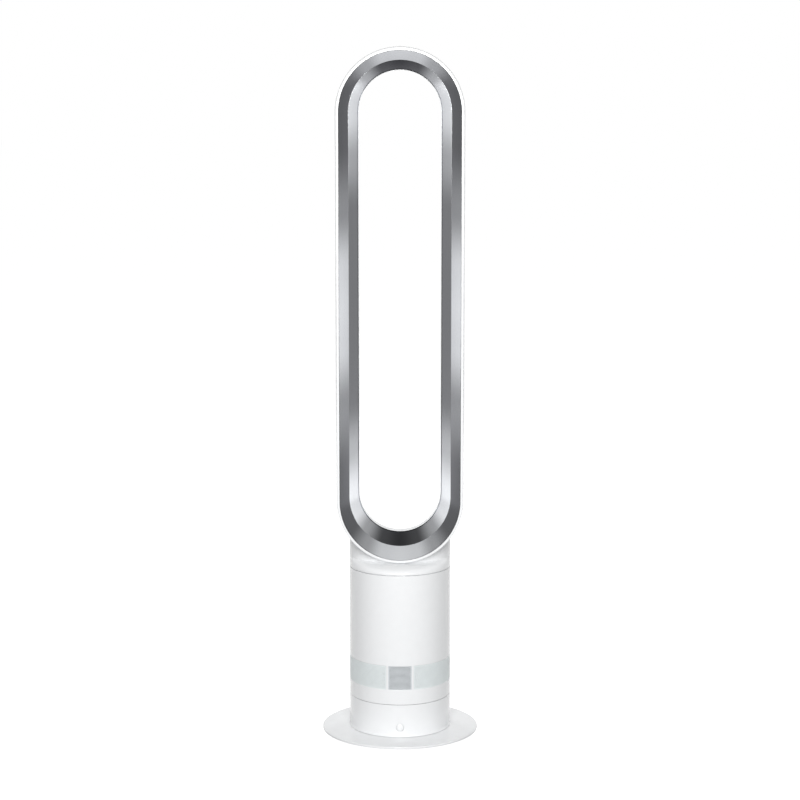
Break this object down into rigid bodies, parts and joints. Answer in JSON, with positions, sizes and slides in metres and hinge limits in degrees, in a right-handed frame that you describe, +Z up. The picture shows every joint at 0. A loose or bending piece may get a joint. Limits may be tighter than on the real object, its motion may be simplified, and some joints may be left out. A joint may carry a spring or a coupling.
{
  "type": "bladeless tower fan",
  "caption": "Bladeless tower fan: tall racetrack air loop with silver inner bands on a round white column that swings on a flat round foot, with hidden impeller, inlet band and push button.",
  "frame": {"origin": "middle of the foot's underside, on the surface the fan stands on", "axes": "+Z up along the column's axis, the front with the button and the display faces -Y, +X is to the right seen from the front"},
  "size_m": [0.23, 0.23, 1.0069],
  "materials": {
    "gloss_white": "white moulded plastic with a soft gloss",
    "silver_band": "metallised plastic, a cool silver with a satin shine",
    "grille_grey": "pale grey, finely perforated",
    "display_grey": "mid grey, finely slotted",
    "circuit_board": "green lacquered board",
    "dark_plastic": "black moulded plastic",
    "inner_plastic": "grey moulded plastic",
    "impeller_plastic": "dark glass-filled plastic",
    "motor_iron": "varnished laminated iron",
    "steel": "bright turned steel",
    "plate_steel": "black powder coat",
    "black_rubber": "matte black rubber",
    "pale_rubber": "translucent pale silicone rubber",
    "foam": "open-cell foam",
    "bearing_plastic": "natural slippery plastic"
  },
  "bodies": {
    "base": {"foot_cover": "gloss_white", "base_plate": "plate_steel", "foot_pads": "black_rubber", "base_screws": "steel", "base_housing": "gloss_white", "base_chassis": "inner_plastic", "spigot_bush": "bearing_plastic", "glide_ring": "bearing_plastic", "drive_motor": "steel", "switch_board": "circuit_board", "button_dome": "pale_rubber", "cord_gland": "black_rubber"},
    "column": {"turntable": "inner_plastic", "spigot_retainer": "steel", "gear_sector": "bearing_plastic", "control_board": "circuit_board", "body_sleeve": "gloss_white", "inlet_grille_left": "grille_grey", "inlet_grille_right": "grille_grey", "display_grille": "display_grey", "display_board": "circuit_board", "display_holder": "dark_plastic", "impeller_housing": "inner_plastic", "diffuser": "inner_plastic", "motor_bucket_lower": "inner_plastic", "motor_bucket_upper": "inner_plastic", "motor_stator": "motor_iron", "bearing_lower": "steel", "bearing_upper": "steel", "motor_bracket": "inner_plastic", "motor_board": "circuit_board", "housing_mount_ring": "black_rubber", "acoustic_foam": "foam", "loop_gasket": "black_rubber", "loop_shell": "gloss_white", "loop_collar": "gloss_white", "front_bezel": "silver_band", "airflow_liner": "silver_band", "slot_spacers": "dark_plastic"},
    "fan_rotor": {"impeller": "impeller_plastic", "rotor_shaft": "steel"},
    "button": {"power_button": "gloss_white"},
    "pinion": {"drive_pinion": "bearing_plastic"}
  },
  "joints": [
    {"name": "column_swing", "type": "hinge", "parent": "base", "child": "column", "pos_m": [0, 0, 0.045], "axis": [0, 0, 1], "range_deg": [-35, 35]},
    {"name": "impeller_spin", "type": "hinge", "parent": "column", "child": "fan_rotor", "pos_m": [0, 0, 0.14], "axis": [0, 0, 1], "continuous": true},
    {"name": "button_press", "type": "slide", "parent": "base", "child": "button", "axis": [0, 1, 0], "range_m": [0, 0.0012], "stiffness_N_per_m": 1500, "springref_m": -0.0005, "deforming": ["button_dome"]},
    {"name": "pinion_spin", "type": "hinge", "parent": "base", "child": "pinion", "pos_m": [-0.045, 0, 0.042], "axis": [0, 0, 1], "range_deg": [-145, 145]}
  ],
  "couplings": [
    {"joint": "pinion_spin", "follows": "column_swing", "ratio": -4}
  ]
}
